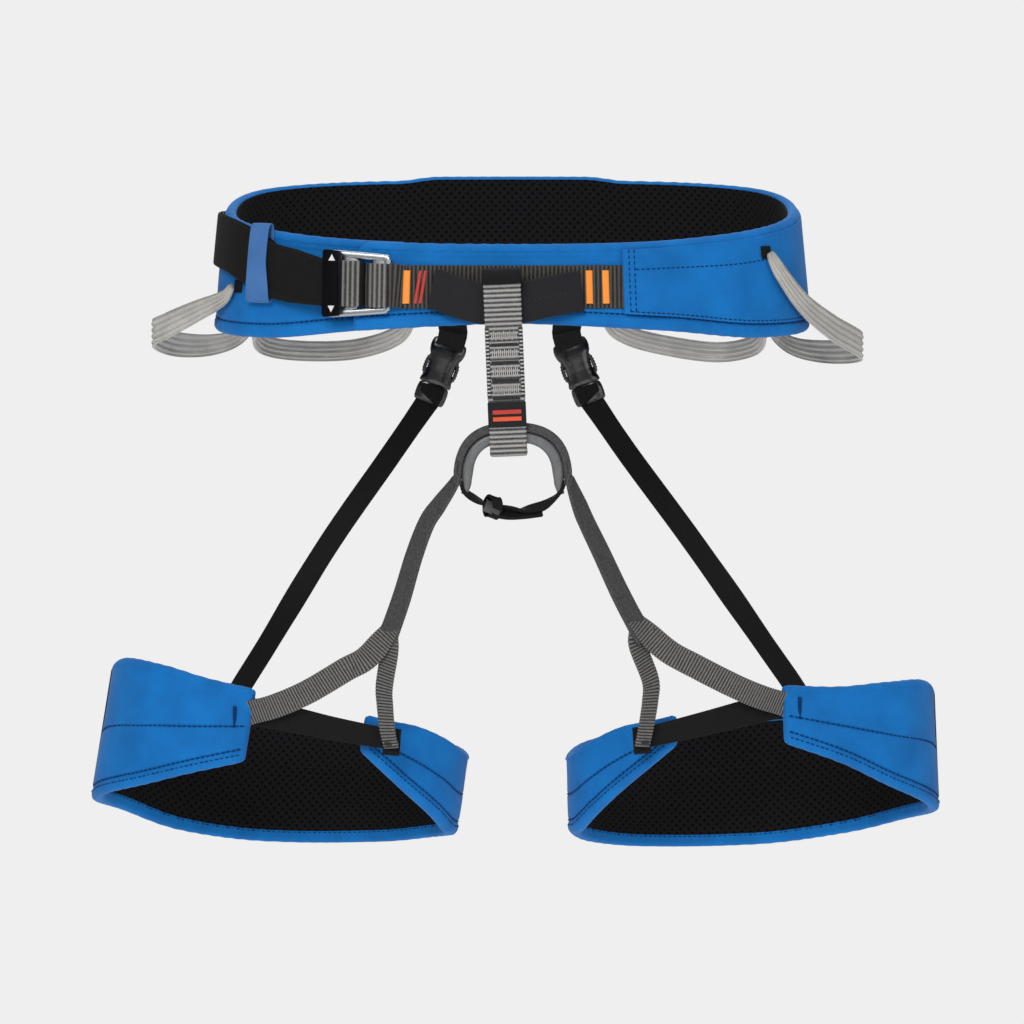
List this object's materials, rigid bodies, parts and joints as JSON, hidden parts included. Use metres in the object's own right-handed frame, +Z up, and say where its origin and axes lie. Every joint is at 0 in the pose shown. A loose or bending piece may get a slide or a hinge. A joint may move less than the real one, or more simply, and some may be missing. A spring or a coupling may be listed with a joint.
{
  "type": "climbing harness",
  "caption": "Sport climbing harness: padded waist belt with sliding buckle, belay loop, tie-in points, gear loops and two padded leg loops on webbing and elastic risers.",
  "frame": {"origin": "middle of the waist ring, halfway up the front of the belt", "axes": "+Z up along the wearer's body, +X to the wearer's left, -Y to the front"},
  "size_m": [0.5519, 0.2573, 0.4437],
  "materials": {
    "blue_shell": "matt stretch weave",
    "foam": "open foam",
    "mesh_lining": "perforated spacer mesh",
    "keeper_elastic": "knitted elastic",
    "grey_webbing": "ribbed nylon webbing",
    "black_webbing": "flat nylon webbing",
    "tie_in_cover": "coated fabric",
    "orange_thread": "bonded thread",
    "grey_thread": "bonded thread",
    "dark_thread": "bonded thread",
    "woven_label": "woven label",
    "buckle_metal": "satin anodised",
    "black_metal": "black anodised",
    "gear_loop_plastic": "moulded, slightly translucent",
    "black_plastic": "moulded acetal",
    "black_elastic": "flat knitted elastic",
    "rope_guard": "smooth wear sleeve"
  },
  "bodies": {
    "waist": {"waist_shell": "blue_shell", "waist_foam": "foam", "waist_lining": "mesh_lining", "waist_top_tape": "blue_shell", "waist_bottom_tape": "blue_shell", "side_cover": "blue_shell", "waist_strap": "black_webbing", "tie_in_webbing": "grey_webbing", "tie_in_sleeve": "tie_in_cover", "tie_in_bartacks": "orange_thread", "buckle_frame": "buckle_metal", "strap_keeper": "keeper_elastic", "gear_loop_tabs": "black_webbing", "riser_tab_left": "black_webbing", "riser_tab_right": "black_webbing", "riser_socket_left": "black_plastic", "riser_socket_right": "black_plastic", "riser_hook_left": "black_plastic", "riser_hook_right": "black_plastic", "riser_strap_left": "black_elastic", "riser_strap_right": "black_elastic", "arch_webbing": "grey_webbing", "arch_sleeve": "rope_guard", "link_strap": "black_elastic", "leg_strap_left": "grey_webbing", "leg_strap_right": "grey_webbing"},
    "buckle_slider": {"buckle_slider": "black_metal"},
    "haul_loop": {"haul_loop": "black_webbing"},
    "gear_front_left": {"gear_loop_front_left": "gear_loop_plastic"},
    "gear_front_right": {"gear_loop_front_right": "gear_loop_plastic"},
    "gear_rear_left": {"gear_loop_rear_left": "gear_loop_plastic"},
    "gear_rear_right": {"gear_loop_rear_right": "gear_loop_plastic"},
    "belay_loop": {"belay_loop": "grey_webbing", "belay_loop_bartacks": "grey_thread", "belay_loop_label": "woven_label"},
    "link_slider": {"link_slider": "black_plastic"},
    "leg_left": {"leg_branch_outer_left": "grey_webbing", "leg_branch_inner_left": "grey_webbing", "leg_shell_left": "blue_shell", "leg_foam_left": "foam", "leg_lining_left": "mesh_lining", "leg_top_tape_left": "blue_shell", "leg_bottom_tape_left": "blue_shell", "leg_elastic_left": "black_elastic", "riser_anchor_left": "black_webbing", "leg_bartacks_left": "dark_thread"},
    "leg_right": {"leg_branch_outer_right": "grey_webbing", "leg_branch_inner_right": "grey_webbing", "leg_shell_right": "blue_shell", "leg_foam_right": "foam", "leg_lining_right": "mesh_lining", "leg_top_tape_right": "blue_shell", "leg_bottom_tape_right": "blue_shell", "leg_elastic_right": "black_elastic", "riser_anchor_right": "black_webbing", "leg_bartacks_right": "dark_thread"}
  },
  "joints": [
    {"name": "gear_front_left_lift", "type": "hinge", "parent": "waist", "child": "gear_front_left", "pos_m": [0.16701, 0.00444, -0.013], "axis": [-0.0661, -0.9508, 0.3026], "range_deg": [0, 45]},
    {"name": "gear_front_right_lift", "type": "hinge", "parent": "waist", "child": "gear_front_right", "pos_m": [-0.17454, 0.01006, -0.024], "axis": [0.0482, 0.9854, -0.1633], "range_deg": [0, 45]},
    {"name": "gear_rear_left_lift", "type": "hinge", "parent": "waist", "child": "gear_rear_left", "pos_m": [0.11441, 0.08655, -0.019], "axis": [0.9684, -0.2487, 0.0194], "range_deg": [0, 45]},
    {"name": "gear_rear_right_lift", "type": "hinge", "parent": "waist", "child": "gear_rear_right", "pos_m": [-0.11631, 0.08643, -0.019], "axis": [0.9666, 0.2556, -0.0201], "range_deg": [0, 45]},
    {"name": "leg_left_swing", "type": "hinge", "parent": "waist", "child": "leg_left", "pos_m": [0.1, -0.012, -0.135], "axis": [-1, 0, 0], "range_deg": [-15, 45], "deforming": ["leg_strap_left", "riser_strap_left"]},
    {"name": "leg_right_swing", "type": "hinge", "parent": "waist", "child": "leg_right", "pos_m": [-0.1, -0.012, -0.135], "axis": [-1, 0, 0], "range_deg": [-15, 45], "deforming": ["leg_strap_right", "riser_strap_right"]},
    {"name": "belay_loop_sway", "type": "hinge", "parent": "waist", "child": "belay_loop", "pos_m": [-0.0042, -0.117, -0.012], "axis": [0, 1, 0], "range_deg": [-2, 2]},
    {"name": "haul_loop_lift", "type": "hinge", "parent": "waist", "child": "haul_loop", "pos_m": [0, 0.0942, 0.008], "axis": [1, 0, 0], "range_deg": [0, 60]},
    {"name": "buckle_slider_lift", "type": "hinge", "parent": "waist", "child": "buckle_slider", "pos_m": [-0.10748, -0.10218, -0.00951], "axis": [0.0182, 0.0826, 0.9964], "range_deg": [0, 30]},
    {"name": "link_slider_slide", "type": "slide", "parent": "waist", "child": "link_slider", "axis": [0.9336, 0, -0.3584], "range_m": [-0.003, 0.003]}
  ]
}
